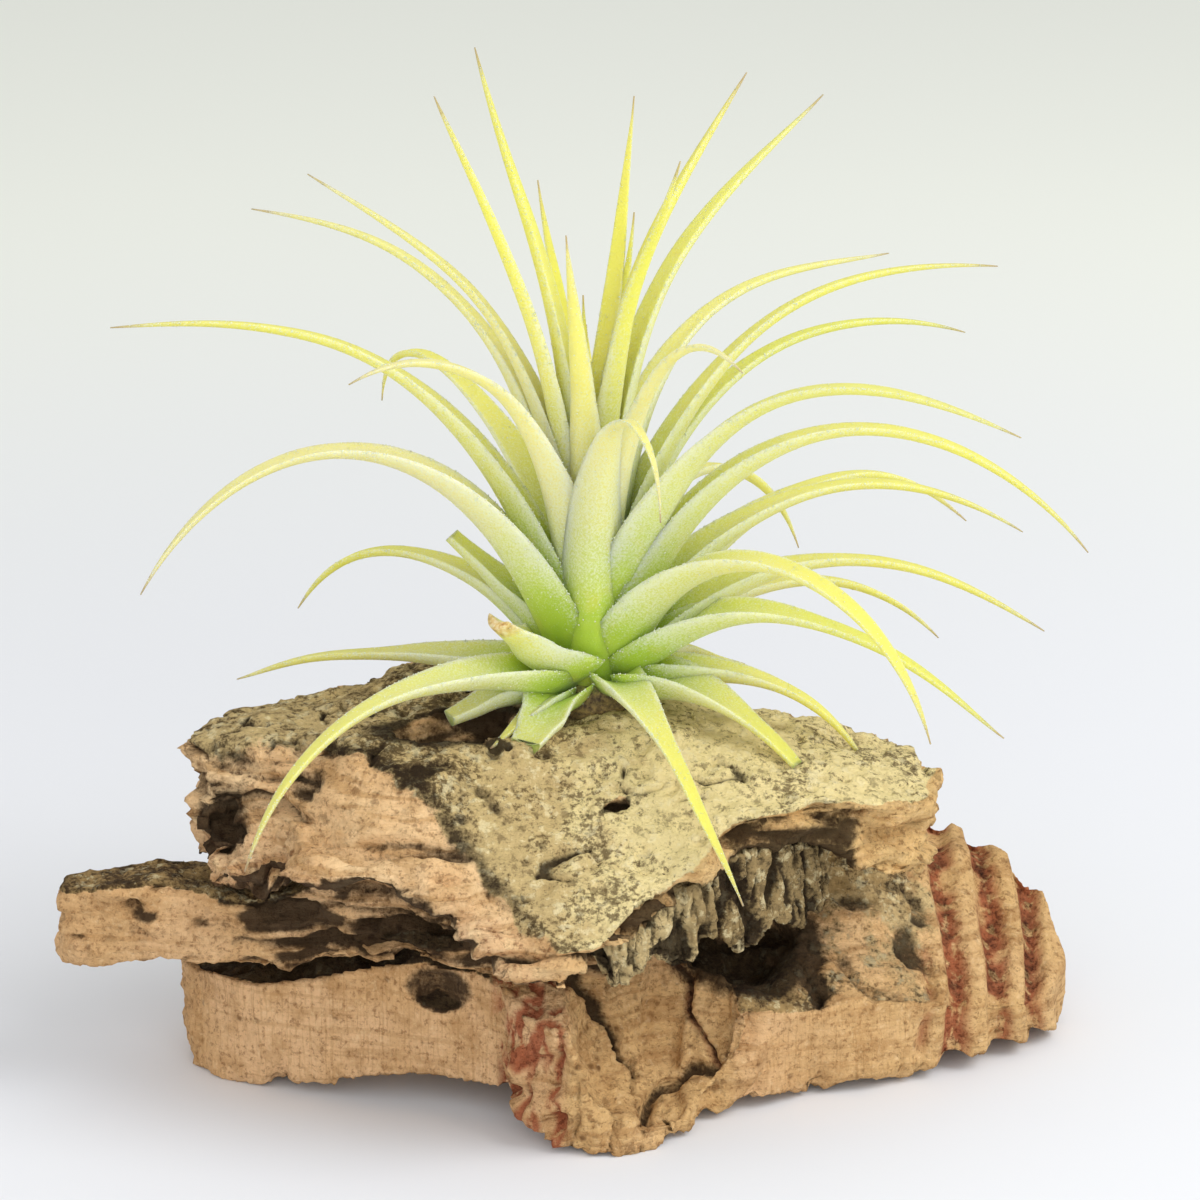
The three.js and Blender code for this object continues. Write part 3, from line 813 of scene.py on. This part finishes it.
def carve_flake(x, y, z, normal):
    """Deep furrows that run down the flake."""
    furrow = noise.noise(Vector((x * 0.6, y * 0.6, z * 0.12)))
    split = noise.noise(Vector((x * 1.6, y * 1.6, z * 0.25 + 4)))
    fine = noise.noise(Vector((x * 3.1, y * 3.1, z * 0.35)))
    depth = 1.3 * ramp(furrow, -0.05, 0.3) + 0.6 * ramp(split, 0.0, 0.35) + 0.25 * fine
    depth += 0.35 * hills(x, y, z) - 0.4
    shade = 0.85 * ramp(furrow, 0.02, 0.28) + 0.6 * ramp(split, 0.08, 0.3) + 0.25 * ramp(-z, -24, -20)
    bleach = 0.7 - 0.6 * ramp(x, 8, 16)
    return depth, 0.75, 0.0, shade + 0.3 * ramp(x, 8, 20), 0.0, bleach


# Grooves between the ribs: how far along X, and half the groove's width.
RIB_GROOVES = [(36.4, 1.0), (40.4, 2.0), (45.4, 1.9), (50.2, 1.7)]


def carve_lower(x, y, z, normal):
    """Cut faces at the front left and right, a scooped hollow between them, ribs at the right end."""
    nx, ny, up = (float(v) for v in normal)
    side = 1 - ramp(up, 0.45, 0.8)
    front = ramp(-ny, 0.25, 0.6) * side
    left_cut = front * ramp(-x, 8, 11)
    right_cut = front * ramp(x, 17, 20) * (1 - ramp(x, 36, 39))
    cut = max(left_cut, right_cut)
    end = ramp(x + 2.5 * noise.noise(Vector((y * 0.15, z * 0.25, 3))), 35.5, 39.5)
    sway = noise.noise(Vector((x * 0.1, y * 0.05, z * 0.07)))
    wave = x + 1.6 * sway + 0.7 * noise.noise(Vector((x * 0.1, y * 0.1, z * 0.14 + 6)))
    rib = max(1 - ramp(abs(wave - place), 0.25 * width, width) for place, width in RIB_GROOVES)
    groove = end * rib * (1 - ramp(nx, 0.75, 0.95))
    ridge = ramp(x, -11.5, -9.5) * (1 - ramp(x, -3.6, -2.2)) * ramp(-y, 13, 17)
    streak = noise.noise(Vector((x * 0.7 - z * 0.15, y * 0.7, z * 0.13 + 5)))
    scoop = ramp(x, -3.6, -2.0) * (1 - ramp(x, 14, 17)) * ramp(-y, 10, 14)
    slant = x - 0.35 * z + 0.2 * y
    fold = noise.noise(Vector((slant * 0.34, y * 0.05, z * 0.03 + 1)))
    first = line_crack(x, z, (-3.2, 18.5), (4.8, 4.6), 1.0)
    second = line_crack(x, z, (8.0, 17.0), (12.9, 6.0), 0.8)
    lip = 3.2 + 0.44 * (x - 5.6) + 0.5 * noise.noise(Vector((x * 0.6, 2, 2)))
    third = (1 - ramp(abs(z - lip), 0.2, 0.7)) * ramp(x, 4.2, 6) * (1 - ramp(x, 13, 16))
    split = ramp(-y, 10, 14) * max(first, 0.7 * second, 0.8 * third)
    split = max(split, 0.6 * scoop * cracks(slant * 0.24 + 1, y * 0.06, z * 0.05, 0.3))
    crust = ramp(up, 0.35, 0.65) * (1 - scoop) * (1 - ridge) * (1 - 0.75 * end)
    pits = ramp(noise.noise(Vector((x * 0.3, y * 0.3, z * 0.3))), 0.1, 0.4)
    depth = (rough(x, y, z) - 0.2) * (1 - 0.75 * cut) * (1 - 0.85 * end)
    depth += 1.5 * groove + 2.0 * split + 1.1 * scoop * ramp(fold, -0.1, 0.35)
    depth += 0.7 * ridge * ramp(streak, -0.1, 0.3) * ramp(z, 2, 5)
    torn = (side - cut) * (1 - scoop) * (1 - end) * (1 - 0.8 * ramp(-x, 36, 42))
    torn_step = ledges(x, y, z, 2.4, 2.4)
    depth += torn * (1.5 * torn_step + 1.2 * bowls(x * 0.1, y * 0.1, z * 0.12) - 0.6)
    depth += crust * (0.7 * pits + 0.8 * cracks(x * 0.12, y * 0.14, 2, 0.1))
    depth += 0.2 * cut * hills(x * 0.9, y * 0.9, z * 0.1)
    hem = (1 - ramp(z, 2.0, 5.0)) * ramp(hills(x * 0.16, y * 0.16, 2), 0.0, 0.5)
    depth += 1.0 * hem * ramp(-up, -0.3, 0.4) * (1 - ramp(-x, 36, 40))
    patch = ramp(noise.noise(Vector((x * 0.3, y * 0.2, z * 0.22 + 2))), -0.35, -0.05)
    rust = 1.3 * groove * patch + 1.1 * ridge * ramp(streak, -0.12, 0.12) + 0.7 * scoop * second
    shade = split + 0.3 * torn * torn_step + crust * (0.25 + 0.4 * pits)
    shade += scoop * ramp(z, 13, 19) * 0.6 + 0.4 * groove * patch
    shade += crust * 0.6 * (1 - ramp(x, 8, 14)) * (1 - ramp(y, 2, 10))
    shade += ridge * 0.15 * ramp(streak, 0.1, 0.3)
    shade += 0.75 * ramp(-x, 20, 26) * ramp(z, 15, 18) * (1 - ramp(y, -4, 4))
    shade += 0.15 * crust * ramp(x, 18, 26)
    bleach = ramp(x, 10, 40) * 0.6 + 0.6 * scoop
    crust *= 0.85 - 0.4 * ramp(x, 18, 26) * (1 - ramp(y, -6, 4))
    under_plank = ramp(-x, 19, 24)
    depth += 1.3 * under_plank * ramp(up, 0.2, 0.6)
    return depth, crust, cut, shade, min(1.0, rust), bleach


UPPER_HOLES = [
    ((-14, -7, 40.5), (8, 3.6, 3.6), 12),
    ((-40, -11, 31.0), (2.4, 3.0, 2.2), 0),
    ((-24, -25, 28.0), (7.5, 5.0, 1.7), -12),
    ((-31, -14, 36.5), (2.0, 2.5, 1.6), 40),
    ((-12, -10.5, 40.2), (3.2, 0.7, 1.3), -20),
    ((2.5, -17.5, 35.0), (1.8, 0.7, 1.3), 30),
]
PLANK_HOLES = [
    ((-48.5, -13.5, 21.5), (1.7, 2.0, 0.9), 0),
    ((-33, -19, 22.0), (5.0, 3.0, 1.6), -10),
    ((-18, -21, 21.0), (7.0, 3.0, 1.2), -15),
]
LOWER_HOLES = [
    ((-17, -20, 14.5), (3.4, 3.0, 2.3), -10),
    ((-37, -13, 17.5), (6.0, 4.0, 1.6), -10),
    ((17, -10, 16.5), (7.0, 8.0, 5.0), 0),
    ((24.8, -14.5, 12.4), (0.8, 2.4, 1.5), 0),
]


# ---- stage -------------------------------------------------------------------------------------
def stage_finish():
    """A pale table that turns a little greener away from its middle."""
    f = Finish("pale_table")
    distance = f.node("ShaderNodeVectorMath", {"operation": "LENGTH"}, {0: f.place()}, output=1)
    tone = f.mix(distance.between(0.1, 0.45), colour("#e6e8ec"), colour("#f8fbf2"))
    return f.finish(tone, 0.9)


def table_top(finish):
    """A round table, so wide that its rim is out of sight."""
    bm = bmesh.new()
    bmesh.ops.create_circle(bm, cap_ends=True, segments=96, radius=4.0)
    table = piece_from(bm, "table_top", finish)


def lamp(name, place, aim, size, power, tone=(1, 1, 1)):
    light = bpy.data.lights.new(name, "AREA")
    light.shape = "DISK"
    light.size = size
    light.energy = power
    light.color = tone
    holder = bpy.data.objects.new(name, light)
    holder.location = place
    holder.rotation_euler = (Vector(aim) - Vector(place)).to_track_quat("-Z", "Y").to_euler()
    bpy.context.scene.collection.objects.link(holder)


def light_and_camera():
    middle = at(0, 0, 50)
    lamp("window", middle + Vector((0.48, -0.16, 0.50)), middle, 0.5, 2.9)
    lamp("front", middle + Vector((0.05, -0.60, 0.15)), middle, 0.7, 1.8)
    lamp("fill", middle + Vector((-0.6, -0.25, 0.3)), middle, 0.6, 0.7)
    world = bpy.data.worlds.new("soft_room")
    world.use_nodes = True
    world.node_tree.nodes["Background"].inputs[0].default_value = (1, 1, 1, 1)
    world.node_tree.nodes["Background"].inputs[1].default_value = 0.65
    bpy.context.scene.world = world
    camera = bpy.data.cameras.new("viewer")
    camera.lens = LENS_MM
    camera.sensor_width = 36.0
    camera.clip_start = 0.01
    holder = bpy.data.objects.new("viewer", camera)
    aim = at(*VIEW_AIM)
    elevation = math.radians(VIEW_ELEVATION)
    back = Vector((0, -math.cos(elevation), math.sin(elevation))) * VIEW_DISTANCE * MM
    holder.location = aim + back
    holder.rotation_euler = (-back).to_track_quat("-Z", "Y").to_euler()
    bpy.context.scene.collection.objects.link(holder)
    bpy.context.scene.camera = holder
    bpy.context.scene.view_settings.view_transform = "Standard"


# ---- putting it together -----------------------------------------------------------------------
def build():
    light_and_camera()
    table_top(stage_finish())
    leaf = leaf_finish()
    scales = scale_finish()
    for kind, rows in LEAVES.items():
        for number, row in enumerate(rows, 1):
            node = f"{kind}_leaf_{number:02d}"
            *plain, special = row
            blade = blade_of(Leaf(node, *plain, **special), (leaf, scales))
            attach(blade, "root")
            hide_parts(node)
    core = stem_piece(stem_finish())
    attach(core, "root")
    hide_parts("stem")
    tan = (colour("#e4ba8b"), colour("#d6ab79"), colour("#b08453"))
    light_tan = (colour("#f6d3a2"), colour("#e6bc89"), colour("#bd915c"))
    grey_tan = (colour("#ccb386"), colour("#b49b6e"), colour("#6e5838"))
    cut_crust = (colour("#dcc08a"), colour("#a98c5c"), colour("#564029"))
    pale_crust = (colour("#f0dda2"), colour("#cdb47f"), colour("#584429"))
    grey_crust = (colour("#d8c08c"), colour("#a48c60"), colour("#4c3f2c"))
    cut_cork = cork_finish("cut_cork", tan, cut_crust)
    weathered = cork_finish("weathered_cork", light_tan, pale_crust)
    furrowed = cork_finish("furrowed_cork", grey_tan, grey_crust)
    for node, carve, finish, slot, voxel, holes in [
        ("cork_lower_slab", carve_lower, cut_cork, "cut_cork", BARK_VOXEL, LOWER_HOLES),
        ("cork_middle_plank", carve_plank, cut_cork, "cut_cork", BARK_VOXEL, PLANK_HOLES),
        ("cork_upper_slab", carve_upper, weathered, "weathered_cork", BARK_VOXEL, UPPER_HOLES),
        ("cork_furrowed_flake", carve_flake, furrowed, "furrowed_cork", FLAKE_VOXEL, ()),
    ]:
        piece = bark_piece(node, carve, finish, voxel, holes)
        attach(piece, "root")
        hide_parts(node)


build()
